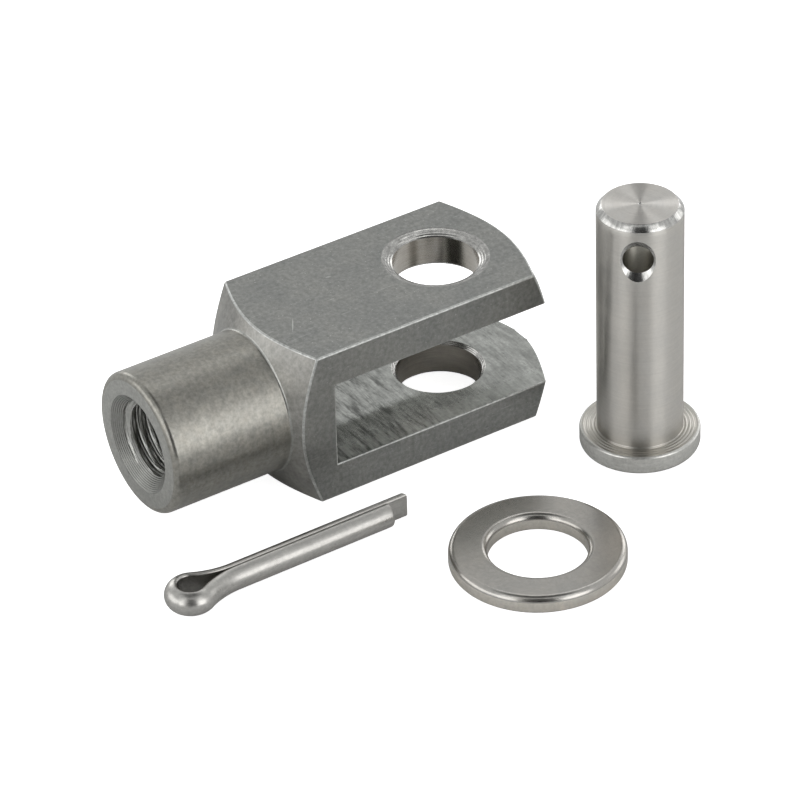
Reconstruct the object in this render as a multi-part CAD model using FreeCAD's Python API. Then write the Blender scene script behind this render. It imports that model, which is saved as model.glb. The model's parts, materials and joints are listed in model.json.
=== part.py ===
import FreeCAD, Part
import math
import os

# A fork head for a threaded rod, laid out with its headed pin, plain washer and split pin.
# Millimetres. The origin is the centre of the cross bore through both ears.
# +X runs along the rod, away from its thread. +Z is the axis of the cross bore, and -Y is the near side.
# The four pieces rest on one floor, at z = -across / 2, as they are shown: taken apart.

# Thread in the neck
thread_diameter = 10.0
thread_pitch = 1.25
thread_mouth_widening = 1.0

# Fork head
slot_width = 10.9
ear_thickness = 4.55
bore_diameter = 10.24
neck_wall = 3.63
neck_length = 15.38
crown_length = 5.32
slot_reach = 20.54
ear_web = 6.67
turned_slope = 0.55
end_flat_margin = 0.2
neck_end_rounding = 0.7
neck_root_rounding = 0.4
edge_break = 0.25
bore_lead_top_width = 1.25
bore_lead_top_depth = 0.6
bore_lead_bottom = 0.45
bore_lead_inside = 0.45

# Headed pin
pin_clearance = 0.03
head_rim = 2.02
head_thickness = 2.55
head_foot_rounding = 0.8
head_top_bevel = 0.15
tip_bevel_in = 0.64
tip_bevel_along = 0.73
tip_web = 2.87
end_play = 1.9
cross_hole_radius = 1.8
cross_hole_lead_width = 0.92
cross_hole_lead_depth = 0.55
cross_hole_turn = 231.7

# Washer
washer_clearance = 0.64
washer_width = 4.51
washer_thickness = 2.1
washer_top_rounding = 0.8
washer_foot_rounding = 0.3

# Split pin
split_pin_clearance = 0.2
seam_gap = 0.1
wire_edge_rounding = 0.25
eye_radius = 1.55
eye_length = 7.4
short_leg = 20.8
long_leg_extra = 2.64
leg_end_bevel = 0.3
split_pin_turn = 0.3

# Gaps between the pieces as they are laid out
fork_to_split_pin = 5.04
fork_to_pin = 4.05
split_pin_to_washer = 2.13
washer_to_pin = 5.79
washer_behind_bore = 8.92
eye_beyond_neck = 5.96

# Each rounded corner of a profile is made of straight facets, one for about this many degrees
facet_angle = 30.0

# Sizes that follow from the ones above
across = slot_width + 2 * ear_thickness
bore_radius = bore_diameter / 2
tap_radius = (thread_diameter - thread_pitch) / 2
neck_radius = thread_diameter / 2 + neck_wall
slot_floor_x = -slot_reach
neck_root_x = slot_floor_x - crown_length
neck_end_x = neck_root_x - neck_length
ear_end_x = bore_radius + ear_web
floor_z = -across / 2
pin_radius = bore_radius - pin_clearance
head_radius = pin_radius + head_rim
cross_hole_height = head_thickness + across + washer_thickness + end_play + cross_hole_radius
pin_length = cross_hole_height + cross_hole_radius + tip_web
washer_hole_radius = pin_radius + washer_clearance
washer_radius = washer_hole_radius + washer_width
wire_radius = cross_hole_radius - split_pin_clearance
wire_edge_y = seam_gap / 2 + wire_edge_rounding
wire_edge_z = math.sqrt((wire_radius - wire_edge_rounding) ** 2 - wire_edge_y ** 2)
wire_half_height = wire_edge_z * wire_radius / (wire_radius - wire_edge_rounding)
eye_half_width = eye_radius + wire_radius - seam_gap / 2
split_pin_y = -(across / 2 + fork_to_split_pin + eye_half_width)
washer_x = -washer_behind_bore
washer_y = split_pin_y - eye_half_width - split_pin_to_washer - washer_radius
pin_x = washer_x + washer_radius + washer_to_pin + head_radius
pin_y = -(across / 2 + fork_to_pin + head_radius)
eye_x = neck_end_x - eye_beyond_neck

X_AXIS = FreeCAD.Vector(1, 0, 0)
Y_AXIS = FreeCAD.Vector(0, 1, 0)
Z_AXIS = FreeCAD.Vector(0, 0, 1)
ORIGIN = FreeCAD.Vector(0, 0, 0)


def revolved(points, axis):
    """Solid from a closed half-profile of vectors, turned a full circle about an axis through the origin."""
    wire = Part.makePolygon(points + [points[0]])
    return Part.Face(wire).revolve(ORIGIN, axis, 360)


def cone_along(start, direction, radius_start, radius_end, height):
    """Cone or frustum from a start point along a direction."""
    return Part.makeCone(radius_start, radius_end, height, start, direction)


def hole_lead(mouth, inwards, hole_radius, width, depth):
    """Frustum that opens a hole's edge by a width at the mouth, running out on the hole at a depth."""
    start = mouth - inwards * depth
    return cone_along(start, inwards, hole_radius + 2 * width, hole_radius, 2 * depth)


def rounding(centre_along, centre_out, radius, start, end):
    """Points of a rounded profile corner, as short straight facets between two angles in degrees."""
    facets = round(abs(end - start) / facet_angle)
    points = []
    for step in range(facets + 1):
        angle = math.radians(start + (end - start) * step / facets)
        points.append((centre_along + radius * math.cos(angle), centre_out + radius * math.sin(angle)))
    return points


def turned_blank():
    """What the lathe leaves: the round neck, and the cone that cuts the square's corners at each end."""
    # The square's corners reach 0.71 of its side, and the cones have to start outside them
    corner_radius = across * 0.75
    root_cone_x = neck_root_x + (corner_radius - neck_radius) * turned_slope
    end_flat_radius = slot_width / 2 + end_flat_margin
    ear_cone_x = ear_end_x - (corner_radius - end_flat_radius) * turned_slope
    root_angle = math.degrees(math.atan2(1, turned_slope))
    root_centre_x = neck_root_x - neck_root_rounding * math.tan(math.radians(root_angle / 2))
    root_centre_out = neck_radius + neck_root_rounding
    end_centre_x = neck_end_x + neck_end_rounding
    end_centre_out = neck_radius - neck_end_rounding
    profile = [(neck_end_x, 0)]
    profile += rounding(end_centre_x, end_centre_out, neck_end_rounding, 180, 90)
    profile += rounding(root_centre_x, root_centre_out, neck_root_rounding, -90, root_angle - 90)
    profile += [
        (root_cone_x, corner_radius),
        (ear_cone_x, corner_radius),
        (ear_end_x, end_flat_radius),
        (ear_end_x, 0),
    ]
    return revolved([FreeCAD.Vector(along, 0, out) for along, out in profile], X_AXIS)


def square_bar():
    """The square stock, with its long corners just broken."""
    corner = FreeCAD.Vector(neck_end_x, -across / 2, -across / 2)
    bar = Part.makeBox(ear_end_x - neck_end_x, across, across, corner)
    long_edges = [e for e in bar.Edges if abs(e.tangentAt(e.FirstParameter).x) > 0.9]
    return bar.makeChamfer(edge_break, long_edges)


def slot_cutter():
    """The milled slot, with its mouths on both sides widened by the broken edges."""
    beyond = ear_end_x - slot_floor_x + across
    corner = FreeCAD.Vector(slot_floor_x, -across, -slot_width / 2)
    slot = Part.makeBox(beyond, 2 * across, slot_width, corner)
    for side in (-1, 1):
        mouth_y = side * (across / 2 - edge_break)
        outer_y = side * (across / 2 + edge_break)
        flare = Part.makeLoft([
            slot_outline(mouth_y, 0, beyond),
            slot_outline(outer_y, 2 * edge_break, beyond),
        ], True, True)
        slot = slot.fuse(flare)
    return slot


def slot_outline(y, growth, beyond):
    """The slot's outline on a plane of constant y, grown on its three closed sides."""
    low_x = slot_floor_x - growth
    high_x = slot_floor_x + beyond
    half = slot_width / 2 + growth
    return Part.makePolygon([
        FreeCAD.Vector(low_x, y, -half),
        FreeCAD.Vector(high_x, y, -half),
        FreeCAD.Vector(high_x, y, half),
        FreeCAD.Vector(low_x, y, half),
        FreeCAD.Vector(low_x, y, -half),
    ])


def fork_head():
    """The square fork: turned at both ends, slotted, cross bored and tapped."""
    fork = square_bar().common(turned_blank())
    fork = fork.cut(slot_cutter())
    bore = Part.makeCylinder(bore_radius, 2 * across, FreeCAD.Vector(0, 0, -across), Z_AXIS)
    fork = fork.cut(bore)
    leads = [
        (across / 2, -Z_AXIS, bore_lead_top_width, bore_lead_top_depth),
        (-across / 2, Z_AXIS, bore_lead_bottom, bore_lead_bottom),
        (slot_width / 2, Z_AXIS, bore_lead_inside, bore_lead_inside),
        (-slot_width / 2, -Z_AXIS, bore_lead_inside, bore_lead_inside),
    ]
    for face_z, inwards, width, depth in leads:
        fork = fork.cut(hole_lead(Z_AXIS * face_z, inwards, bore_radius, width, depth))
    neck_mouth = FreeCAD.Vector(neck_end_x, 0, 0)
    tap_hole = Part.makeCylinder(tap_radius, slot_floor_x - neck_end_x + across / 2, neck_mouth, X_AXIS)
    mouth_radius = thread_diameter / 2 + thread_mouth_widening
    mouth = cone_along(neck_mouth, X_AXIS, mouth_radius, tap_radius, mouth_radius - tap_radius)
    return fork.cut(tap_hole).cut(mouth)


def headed_pin():
    """The turned pin, standing on its head, with its cross hole for the split pin."""
    profile = [(0, 0)]
    profile += rounding(head_radius - head_foot_rounding, head_foot_rounding, head_foot_rounding, -90, 0)
    profile += [
        (head_radius, head_thickness - head_top_bevel),
        (head_radius - head_top_bevel, head_thickness),
        (pin_radius, head_thickness),
        (pin_radius, pin_length - tip_bevel_along),
        (pin_radius - tip_bevel_in, pin_length),
        (0, pin_length),
    ]
    pin = revolved([FreeCAD.Vector(out, 0, up) for out, up in profile], Z_AXIS)
    turn = math.radians(cross_hole_turn)
    outward = FreeCAD.Vector(math.cos(turn), math.sin(turn), 0)
    centre = FreeCAD.Vector(0, 0, cross_hole_height)
    hole = Part.makeCylinder(cross_hole_radius, 4 * pin_radius, centre - outward * 2 * pin_radius, outward)
    pin = pin.cut(hole)
    for side in (outward, -outward):
        mouth = centre + side * pin_radius
        lead = hole_lead(mouth, -side, cross_hole_radius, cross_hole_lead_width, cross_hole_lead_depth)
        pin = pin.cut(lead)
    pin.translate(FreeCAD.Vector(pin_x, pin_y, floor_z))
    return pin


def plain_washer():
    """The stamped washer: rolled over on its upper edges by the punch, less rounded below."""
    top_z = washer_thickness - washer_top_rounding
    inner_x = washer_hole_radius + washer_top_rounding
    outer_x = washer_radius - washer_top_rounding
    foot_in = washer_hole_radius + washer_foot_rounding
    foot_out = washer_radius - washer_foot_rounding
    profile = rounding(foot_out, washer_foot_rounding, washer_foot_rounding, -90, 0)
    profile += rounding(outer_x, top_z, washer_top_rounding, 0, 90)
    profile += rounding(inner_x, top_z, washer_top_rounding, 90, 180)
    profile += rounding(foot_in, washer_foot_rounding, washer_foot_rounding, 180, 270)
    ring = revolved([FreeCAD.Vector(out, 0, up) for out, up in profile], Z_AXIS)
    ring.translate(FreeCAD.Vector(washer_x, washer_y, floor_z))
    return ring


def eye_path():
    """Inner line of the folded wire in its own plane: one leg, the teardrop eye, and the other leg back.

    The eye is a circle met on both sides by an arc that curves the other way and runs into the seam.
    """
    half_gap = seam_gap / 2
    reach = eye_length - eye_radius
    neck_radius_of_eye = (reach ** 2 + half_gap ** 2 - eye_radius ** 2) / (2 * (eye_radius - half_gap))
    neck_y = neck_radius_of_eye + half_gap
    share = eye_radius / (eye_radius + neck_radius_of_eye)
    touch = FreeCAD.Vector(eye_radius + reach * share, neck_y * share, 0)
    along = math.atan2(neck_y - touch.y, eye_length - touch.x)
    middle = (along + math.pi / 2) / 2
    bend = FreeCAD.Vector(
        eye_length - neck_radius_of_eye * math.cos(middle),
        neck_y - neck_radius_of_eye * math.sin(middle),
        0,
    )
    seam = FreeCAD.Vector(eye_length, half_gap, 0)
    long_end = FreeCAD.Vector(eye_length + short_leg + long_leg_extra, half_gap, 0)
    short_end = FreeCAD.Vector(eye_length + short_leg, -half_gap, 0)
    edges = [
        Part.makeLine(long_end, seam),
        Part.Arc(seam, bend, touch).toShape(),
        Part.Arc(touch, ORIGIN, mirrored(touch)).toShape(),
        Part.Arc(mirrored(touch), mirrored(bend), mirrored(seam)).toShape(),
        Part.makeLine(mirrored(seam), short_end),
    ]
    return Part.Wire(edges)


def mirrored(point):
    """The same point on the other side of the seam."""
    return FreeCAD.Vector(point.x, -point.y, point.z)


def wire_section(x):
    """Half-round section of the wire, flat side on the seam, with its two long edges broken."""
    flat_y = seam_gap / 2
    scale = wire_radius / (wire_radius - wire_edge_rounding)
    flat_top = FreeCAD.Vector(x, flat_y, wire_edge_z)
    flat_low = FreeCAD.Vector(x, flat_y, -wire_edge_z)
    round_top = FreeCAD.Vector(x, wire_edge_y * scale, wire_edge_z * scale)
    round_low = FreeCAD.Vector(x, wire_edge_y * scale, -wire_edge_z * scale)
    return Part.Wire([
        Part.makeLine(flat_low, flat_top),
        Part.makeLine(flat_top, round_top),
        Part.Arc(round_top, FreeCAD.Vector(x, wire_radius, 0), round_low).toShape(),
        Part.makeLine(round_low, flat_low),
    ])


def leg_end_cutter(end_x, side):
    """What the cutters take off a leg's round back at its end, on one side of the seam."""
    start = FreeCAD.Vector(end_x - leg_end_bevel, 0, 0)
    sleeve = Part.makeCylinder(2 * wire_radius, 2 * leg_end_bevel, start, X_AXIS)
    kept = cone_along(start, X_AXIS, wire_radius, wire_radius - 2 * leg_end_bevel, 2 * leg_end_bevel)
    corner = FreeCAD.Vector(start.x, min(0, side * 2 * wire_radius), -2 * wire_radius)
    half = Part.makeBox(2 * leg_end_bevel, 2 * wire_radius, 4 * wire_radius, corner)
    return sleeve.cut(kept).common(half)


def folded_split_pin():
    """The wire swept along its fold, laid flat on the floor."""
    short_end_x = eye_length + short_leg
    long_end_x = short_end_x + long_leg_extra
    pin = eye_path().makePipeShell([wire_section(long_end_x)], True, False)
    pin = pin.cut(leg_end_cutter(long_end_x, 1))
    pin = pin.cut(leg_end_cutter(short_end_x, -1))
    pin.rotate(ORIGIN, Z_AXIS, split_pin_turn)
    pin.translate(FreeCAD.Vector(eye_x, split_pin_y, floor_z + wire_half_height))
    return pin


def main():
    os.makedirs("parts", exist_ok=True)
    nodes = {
        "clevis_fork": fork_head(),
        "clevis_pin": headed_pin(),
        "washer": plain_washer(),
        "split_pin": folded_split_pin(),
    }
    for name, shape in nodes.items():
        box = shape.optimalBoundingBox(False)
        print(name, "solids", len(shape.Solids), "valid", shape.isValid(), "volume", round(shape.Volume, 3),
              "box", [round(v, 3) for v in (box.XMin, box.YMin, box.ZMin, box.XMax, box.YMax, box.ZMax)])
        shape.exportStep("parts/" + name + ".step")


main()
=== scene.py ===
# %% [markdown]
# A fork head for a threaded rod, laid out with its headed pin, its plain washer and its split pin.
# All four are bare stainless steel, so almost everything the eye reads is reflection: the true shapes,
# the small rounding of every edge, and the direction of the tool marks matter more than any colour.
# The first cell loads the measured solids, and everything below is fitted to them in their own frame.
# Blender's scene is in metres, and the numbers are in millimetres unless they say otherwise.

# %% Load the measured frame
import json
import math
import bmesh
import bpy
import numpy as np
from mathutils import Matrix, Vector


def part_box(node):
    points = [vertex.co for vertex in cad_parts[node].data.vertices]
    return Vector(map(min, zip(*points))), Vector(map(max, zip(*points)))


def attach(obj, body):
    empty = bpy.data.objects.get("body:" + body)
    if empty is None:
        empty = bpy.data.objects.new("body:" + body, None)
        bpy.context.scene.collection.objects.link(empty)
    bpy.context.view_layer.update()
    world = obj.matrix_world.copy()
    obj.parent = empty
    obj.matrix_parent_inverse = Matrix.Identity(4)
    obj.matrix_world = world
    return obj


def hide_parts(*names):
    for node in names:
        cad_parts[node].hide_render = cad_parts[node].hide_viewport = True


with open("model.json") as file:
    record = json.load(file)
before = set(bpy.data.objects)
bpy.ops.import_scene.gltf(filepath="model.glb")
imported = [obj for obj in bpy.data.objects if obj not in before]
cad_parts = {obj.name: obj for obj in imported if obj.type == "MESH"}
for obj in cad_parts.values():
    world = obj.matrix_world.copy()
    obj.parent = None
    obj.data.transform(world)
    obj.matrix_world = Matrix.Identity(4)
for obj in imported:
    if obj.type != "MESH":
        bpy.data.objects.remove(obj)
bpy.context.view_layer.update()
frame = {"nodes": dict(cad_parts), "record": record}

MM = 0.001
scene = bpy.context.scene
print("nodes:", sorted(frame["nodes"]))

# %% [markdown]
# Sizes. The record already knows the round interfaces, and the boxes of the nodes give the rest, so most
# numbers are read back. The typed ones, in the cells below, are what neither a box nor a mount can tell.

# %% Read the sizes back from the frame
mounts = {mount["name"]: mount for mount in frame["record"]["mounts"]}


def node_box(node):
    """Lowest and highest corner of a node."""
    low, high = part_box(node)
    return np.array(low) / MM, np.array(high) / MM


def mount_radius(name):
    """Radius of a round mount."""
    return mounts[name]["dims"]["r_mm"]


def mount_place(name):
    """Place of a mount."""
    return np.array(mounts[name]["pos_m"]) / MM


fork_low, fork_high = node_box("clevis_fork")
pin_low, pin_high = node_box("clevis_pin")
washer_low, washer_high = node_box("washer")
wire_low, wire_high = node_box("split_pin")
floor_z = fork_low[2]
across = fork_high[2] - fork_low[2]
half = across / 2
neck_end_x, ear_end_x = fork_low[0], fork_high[0]
bore_radius = mount_radius("pin_bore")
pin_radius = mount_radius("pin_shaft")
cross_hole_radius = mount_radius("split_pin_hole")
washer_hole_radius = mount_radius("washer_bore")
pin_centre = mount_place("pin_shaft")[:2]
washer_centre = mount_place("washer_bore")[:2]
cross_hole_z = mount_place("split_pin_hole")[2]
cross_hole_axis = np.array(mounts["split_pin_hole"]["axis"])
print("across", round(across, 3), "bore", bore_radius, "pin", pin_radius, "washer hole", washer_hole_radius)

# %% [markdown]
# The camera. The photograph was measured first: a long lens, from the left and above, with a slight roll.
# A camera in Blender looks along its own -Z, so its axes make the rotation. The lens is the focal length
# in pixels, scaled to Blender's 36 mm sensor.

# %% Camera
IMAGE_SIDE = 800
FOCAL_PIXELS = 5276.9
camera_place = Vector((-281.1, -434.2, 346.0)) * MM
image_right = Vector((0.83461, -0.55027, -0.02520))
image_down = Vector((-0.32961, -0.46223, -0.82323))
view_line = Vector((0.44135, 0.69538, -0.56715))
camera_data = bpy.data.cameras.new("camera")
camera_data.sensor_width = 36.0
camera_data.lens = FOCAL_PIXELS / IMAGE_SIDE * camera_data.sensor_width
camera_data.clip_end = 20.0
camera = bpy.data.objects.new("camera", camera_data)
scene.collection.objects.link(camera)
camera_axes = Matrix((image_right, -image_down, -view_line)).transposed()
camera.matrix_world = Matrix.Translation(camera_place) @ camera_axes.to_4x4()
scene.camera = camera
scene.view_settings.view_transform = "Standard"
print("lens", round(camera_data.lens, 1), "mm")

# %% [markdown]
# The lamps. Bare steel mirrors the room, so the room is part of the look. Each lamp is named by the turn
# (degrees, positive to the right of the camera) and the rise from which it shines. Two large soft boxes
# stand in front, each with a small one above it that reaches the steep bevels. Side walls light the pin's
# flanks, and two boxes behind light the countersink. A narrow strip high at the back draws the second,
# thinner highlight along the neck. All stand further off than the camera, out of every view's way.

# %% Lamps
LAMP_DISTANCE = 1.0
LAMPS = {
    # name: turn, rise, width and height in metres, radiance
    "soft_box_left": (-41, 17, 0.46, 0.62, 1.55),
    "high_box_left": (-42, 46, 0.30, 0.24, 1.2),
    "side_wall_left": (-82, 14, 0.95, 0.55, 1.2),
    "soft_box_right": (44, 18, 0.60, 0.68, 1.85),
    "high_box_right": (45, 47, 0.30, 0.24, 1.1),
    "side_wall_right": (116, 14, 0.40, 0.50, 1.3),
    "high_strip_back": (160, 57, 0.60, 0.10, 1.6),
    "soft_box_back_right": (148, 16, 0.38, 0.45, 1.75),
    "soft_box_back_left": (-150, 18, 0.38, 0.42, 1.9),
}


def studio_place(turn, rise, distance):
    """A place (metres) around the object, at a turn and a rise in degrees."""
    heading = math.atan2(-view_line.y, -view_line.x) + math.radians(turn)
    level = math.cos(math.radians(rise)) * distance
    height = math.sin(math.radians(rise)) * distance
    return Vector((level * math.cos(heading), level * math.sin(heading), height))


def soft_box(name, turn, rise, width, height, radiance):
    """A rectangular lamp that faces the object. Its power is radiance times pi times its area."""
    data = bpy.data.lights.new(name, "AREA")
    data.shape = "RECTANGLE"
    data.size, data.size_y = width, height
    data.energy = radiance * math.pi * width * height
    lamp = bpy.data.objects.new(name, data)
    lamp.location = studio_place(turn, rise, LAMP_DISTANCE)
    lamp.rotation_euler = (-lamp.location).to_track_quat("-Z", "Y").to_euler()
    scene.collection.objects.link(lamp)


for lamp_name, lamp_values in LAMPS.items():
    soft_box(lamp_name, *lamp_values)
print("lamps:", len(LAMPS))

# %% [markdown]
# The backdrop. The world is pale grey to everything but the camera, which sees it white: the Light Path
# node tells the two apart. Were the world white to the steel as well, the flats would wash out.

# %% World
world = bpy.data.worlds.new("pale_room")
scene.world = world
world.use_nodes = True
world_tree = world.node_tree
world_path = world_tree.nodes.new("ShaderNodeLightPath")
wall_colour = world_tree.nodes.new("ShaderNodeMix")
wall_colour.data_type = "RGBA"
wall_colour.inputs[6].default_value = (0.80, 0.81, 0.81, 1)
wall_colour.inputs[7].default_value = (1, 1, 1, 1)
world_tree.links.new(world_path.outputs["Is Camera Ray"], wall_colour.inputs["Factor"])
world_tree.links.new(wall_colour.outputs[2], world_tree.nodes["Background"].inputs["Color"])

# %% [markdown]
# The panels. The floor is white paper that keeps the object's shadow, with a glow that only the camera
# sees, so that it meets the backdrop without a line. A dark upright strip stands in the gap between the
# front boxes, where the camera was: it is the dark band in the middle of every bevel that faces the
# camera. A dark grey ceiling keeps the far side of the countersink from mirroring the pale room.

# %% Floor, camera strip and ceiling
FLOOR_REACH = 3.0
FLOOR_GLOW = 0.86
STRIP_DISTANCE, STRIP_HALF_WIDTH, STRIP_HEIGHT = 0.95, 0.38, 1.5
CEILING_HALF_SIDE, CEILING_HEIGHT = 0.5, 1.5
SQUARE = ((-1, -1), (1, -1), (1, 1), (-1, 1))


def matt_material(name, level):
    """A matt grey stage material, and its shader."""
    material = bpy.data.materials.new(name)
    material.use_nodes = True
    shader = material.node_tree.nodes["Principled BSDF"]
    shader.inputs["Base Color"].default_value = (level, level, level, 1)
    shader.inputs["Roughness"].default_value = 0.9
    return material, shader


def flat_panel(name, corners, material):
    """A four-sided stage panel from its corners in metres."""
    mesh = bpy.data.meshes.new(name)
    mesh.from_pydata([tuple(corner) for corner in corners], [], [(0, 1, 2, 3)])
    mesh.materials.append(material)
    panel = bpy.data.objects.new(name, mesh)
    scene.collection.objects.link(panel)


def level_square(reach, height):
    """Corners of a level square, counted so that it faces up."""
    return [(x * reach, y * reach, height) for x, y in SQUARE]


floor_paper, paper_shader = matt_material("floor_paper", 0.8)
paper_tree = floor_paper.node_tree
floor_path = paper_tree.nodes.new("ShaderNodeLightPath")
glow = paper_tree.nodes.new("ShaderNodeMapRange")
glow.inputs["To Min"].default_value = 0.0
glow.inputs["To Max"].default_value = FLOOR_GLOW
paper_shader.inputs["Emission Color"].default_value = (1, 1, 1, 1)
paper_tree.links.new(floor_path.outputs["Is Camera Ray"], glow.inputs["Value"])
paper_tree.links.new(glow.outputs[0], paper_shader.inputs["Emission Strength"])
flat_panel("floor", level_square(FLOOR_REACH, floor_z * MM), floor_paper)

dark_cloth, _ = matt_material("dark_cloth", 0.02)
strip_foot = studio_place(0, 0, STRIP_DISTANCE)
strip_side = Vector((-strip_foot.y, strip_foot.x, 0)).normalized() * STRIP_HALF_WIDTH
strip_up = Vector((0, 0, STRIP_HEIGHT))
strip_left, strip_right = strip_foot - strip_side, strip_foot + strip_side
strip_corners = [strip_left, strip_right, strip_right + strip_up, strip_left + strip_up]
flat_panel("camera_strip", strip_corners, dark_cloth)

grey_cloth, _ = matt_material("grey_cloth", 0.12)
flat_panel("ceiling", level_square(CEILING_HALF_SIDE, CEILING_HEIGHT)[::-1], grey_cloth)

# %% [markdown]
# Turned shapes. A lathe makes a shape by carrying one half-profile round an axis, and so does this helper:
# the profile is a list of (distance along the axis, radius), and the surface is that list times a list of
# angles. Blender's Spin or Screw could do it too, but arrays keep control of the seam and of the UV map,
# whose U direction is the direction of the tool marks. The shader uses it to stretch reflections.

# %% Meshes from arrays
def add_object(name, vertices, faces, corner_uv):
    """Mesh object from vertices, polygons of vertex numbers, and one UV pair per polygon corner."""
    mesh = bpy.data.meshes.new(name)
    mesh.from_pydata(np.asarray(vertices) * MM, [], [tuple(int(i) for i in face) for face in faces])
    layer = mesh.uv_layers.new(name="UVMap")
    layer.data.foreach_set("uv", np.asarray(corner_uv, float).ravel())
    work = bmesh.new()
    work.from_mesh(mesh)
    bmesh.ops.recalc_face_normals(work, faces=work.faces)
    work.to_mesh(mesh)
    work.free()
    piece = bpy.data.objects.new(name, mesh)
    scene.collection.objects.link(piece)
    return piece


def grid_quads(rows, steps):
    """Row, column and corners of each quad of a grid of points that closes on itself sideways."""
    row, col = [part.ravel() for part in np.meshgrid(np.arange(rows - 1), np.arange(steps), indexing="ij")]
    here, there = row * steps, (row + 1) * steps
    next_col = (col + 1) % steps
    return row, col, np.stack([here + col, here + next_col, there + next_col, there + col], 1)


def columns(*values):
    """Rows from columns of values. A single number fills its column."""
    return np.stack(np.broadcast_arrays(*values), 1)


def corner_pairs(*corners):
    """UV pairs, face after face, from the (u, v) columns of each corner."""
    return np.stack([columns(u, v) for u, v in corners], 1).reshape(-1, 2)


def arc(centre, radius, start, end, count):
    """Points on an arc of a profile: centre + radius * (cos, sin) of evenly spaced angles in degrees."""
    angle = np.radians(np.linspace(start, end, count))
    return np.stack([centre[0] + radius * np.cos(angle), centre[1] + radius * np.sin(angle)], 1)


# %% Turned surfaces
AXES = {
    "x": np.array([[1, 0, 0], [0, 1, 0], [0, 0, 1]], float),
    "z": np.array([[0, 0, 1], [1, 0, 0], [0, 1, 0]], float),
}


def turned(name, profile, axis="z", centre=(0, 0, 0), steps=192, ring=False):
    """Surface of revolution: place = centre + along * axis + radius * (cos a * side + sin a * other side).

    The profile runs from the axis to the axis for a solid, or is a closed loop for a ring. The U of the
    UV map is the angle, as a share of a turn, and its V is the length along the profile.
    """
    profile = np.asarray(profile, float)
    if ring:
        profile = np.vstack([profile, profile[:1]])
    length = np.concatenate([[0], np.cumsum(np.linalg.norm(np.diff(profile, axis=0), axis=1))])
    body, body_length = (profile[:-1], length) if ring else (profile[1:-1], length[1:-1])
    own_axis, side, other_side = AXES[axis] if isinstance(axis, str) else axis
    angle = np.arange(steps) / steps * 2 * math.pi
    radial = np.cos(angle)[:, None] * side + np.sin(angle)[:, None] * other_side
    points = np.asarray(centre) + body[:, None, :1] * own_axis + body[:, None, 1:] * radial[None]
    row, col, quads = grid_quads(len(body_length), steps)
    left, right = col / steps, (col + 1) / steps
    low, high = body_length[row], body_length[row + 1]
    vertices, faces = points.reshape(-1, 3), list(quads % (len(body) * steps))
    uv = corner_pairs((left, low), (right, low), (right, high), (left, high))
    if ring:
        return add_object(name, vertices, faces, uv)

    poles = np.asarray(centre) + profile[[0, -1], :1] * own_axis
    start_pole, end_pole = len(vertices), len(vertices) + 1
    first = np.arange(steps)
    second = (first + 1) % steps
    last_row = (len(body) - 1) * steps
    faces += list(columns(second, first, start_pole))
    faces += list(columns(last_row + first, last_row + second, end_pole))
    left, right = first / steps, (first + 1) / steps
    middle = (left + right) / 2
    start_uv = corner_pairs((right, length[1]), (left, length[1]), (middle, 0.0))
    end_uv = corner_pairs((left, length[-2]), (right, length[-2]), (middle, length[-1]))
    return add_object(name, np.vstack([vertices, poles]), faces, np.vstack([uv, start_uv, end_uv]))


# %% [markdown]
# Cutting. The real fork is a square bar that is turned, slotted, bored and tapped, and the same order
# works here: exact booleans with solids worked out above, each applied at once so that the next cut
# starts from a clean mesh.

# %% Cutting, edge rounding and shading
def apply_modifiers(piece):
    """Replace the piece's mesh by what its modifiers make of it."""
    graph = bpy.context.evaluated_depsgraph_get()
    shaped = piece.evaluated_get(graph)
    mesh = bpy.data.meshes.new_from_object(shaped, preserve_all_data_layers=True, depsgraph=graph)
    piece.modifiers.clear()
    piece.data = mesh


def combine(piece, tool, operation="DIFFERENCE"):
    """Cut the piece with a closed tool, or keep only what lies in both, and drop the tool."""
    step = piece.modifiers.new("cut", "BOOLEAN")
    step.operation, step.object, step.solver = operation, tool, "EXACT"
    apply_modifiers(piece)
    bpy.data.objects.remove(tool)


def round_edges(piece, width, share, segments=3, angle=28.0):
    """Round the edges sharper than an angle, by a width times the share that each edge's middle is given.

    The overlap clamp is off: it would shrink every edge's rounding to what the tightest corner allows.
    """
    work = bmesh.new()
    work.from_mesh(piece.data)
    weight = work.edges.layers.float.new("bevel_weight_edge")
    middles = np.array([(edge.verts[0].co + edge.verts[1].co) / 2 for edge in work.edges]) / MM
    sharp = np.array([edge.calc_face_angle(0.0) for edge in work.edges]) > math.radians(angle)
    for edge, amount in zip(work.edges, sharp * share(middles)):
        edge[weight] = amount
    work.to_mesh(piece.data)
    work.free()
    step = piece.modifiers.new("rounding", "BEVEL")
    step.width, step.segments, step.limit_method = width * MM, segments, "WEIGHT"
    step.use_clamp_overlap = False
    step.miter_outer = "MITER_ARC"
    apply_modifiers(piece)


def shade(piece, sharp_angle=35.0):
    """Smooth shading, broken at sharp edges, with each corner's normal weighted by the area of its faces."""
    mesh = piece.data
    mesh.polygons.foreach_set("use_smooth", np.ones(len(mesh.polygons), bool))
    mesh.set_sharp_from_angle(angle=math.radians(sharp_angle))
    step = piece.modifiers.new("flat_faces", "WEIGHTED_NORMAL")
    step.keep_sharp = True
    step.weight = 100
    apply_modifiers(piece)


# %% [markdown]
# The fork head. Square bar is chucked and both ends are turned: a round neck for the thread, and a cone
# at each end that leaves curved (hyperbolic) lines where it runs out on the flats. Modelling those curves
# by hand would be guesswork. Keeping only what lies in both the turned blank and the square bar gives
# them exactly.

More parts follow.
